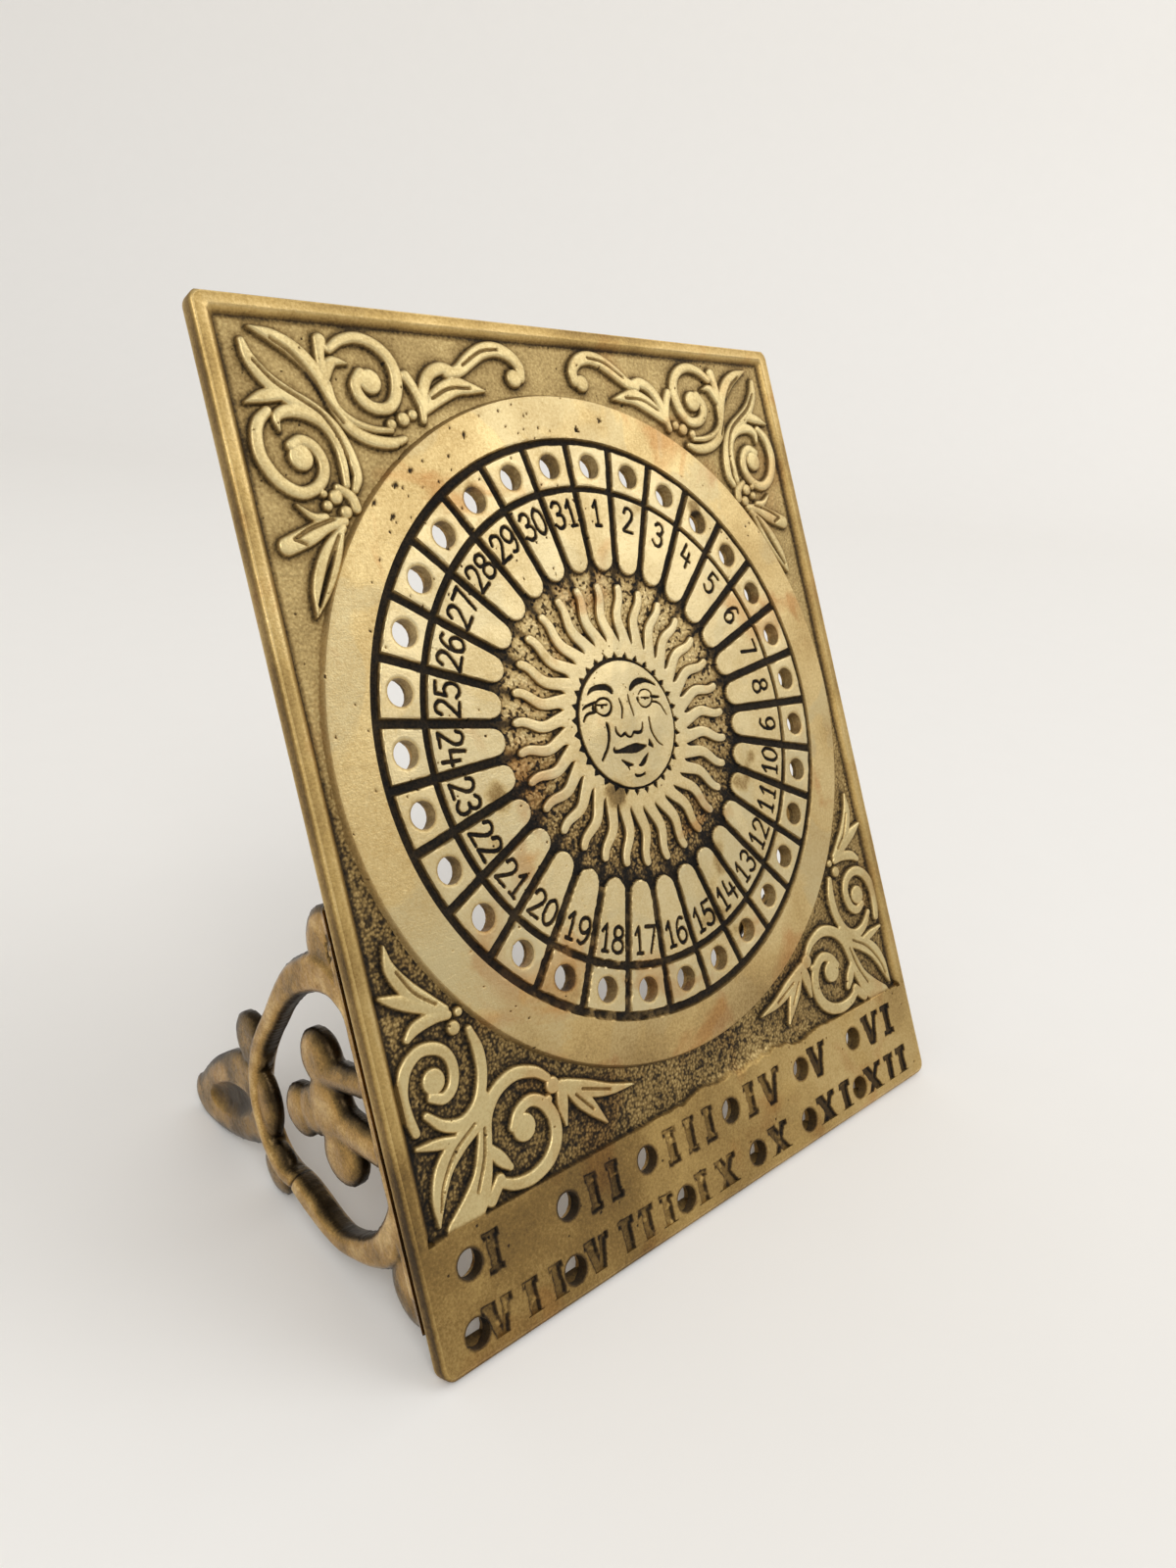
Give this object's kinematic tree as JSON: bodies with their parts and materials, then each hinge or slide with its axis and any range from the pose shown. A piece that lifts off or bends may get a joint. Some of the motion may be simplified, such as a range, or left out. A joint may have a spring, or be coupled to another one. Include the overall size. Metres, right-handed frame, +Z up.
{
  "type": "sundial calendar",
  "caption": "Cast brass calendar plate with a sun dial, a hole for each day and month, and folding openwork wings behind it as a stand.",
  "frame": {"origin": "on the floor under the middle of the standing object's box", "axes": "+Z up, +X to the right seen from the dial's side, -Y towards the dial's side; the plate leans back to +Y"},
  "size_m": [0.117, 0.0744, 0.1304],
  "materials": {
    "plate_brass": "cast and polished, with dark patina in the hollows",
    "wing_brass": "cast, aged brown",
    "pin_brass": "drawn wire, riveted ends"
  },
  "bodies": {
    "plate": {"calendar_plate": "plate_brass", "hinge_pin_left_lower": "pin_brass", "hinge_pin_left_upper": "pin_brass", "hinge_pin_right_lower": "pin_brass", "hinge_pin_right_upper": "pin_brass"},
    "wing_left": {"wing_left": "wing_brass"},
    "wing_right": {"wing_right": "wing_brass"}
  },
  "joints": [
    {"name": "wing_left_fold", "type": "hinge", "parent": "plate", "child": "wing_left", "pos_m": [-0.05185, -0.01455, 0.03456], "axis": [0, -0.4437, -0.8962], "range_deg": [0, 90]},
    {"name": "wing_right_fold", "type": "hinge", "parent": "plate", "child": "wing_right", "pos_m": [0.05185, -0.01455, 0.03456], "axis": [0, 0.4437, 0.8962], "range_deg": [0, 84]}
  ]
}
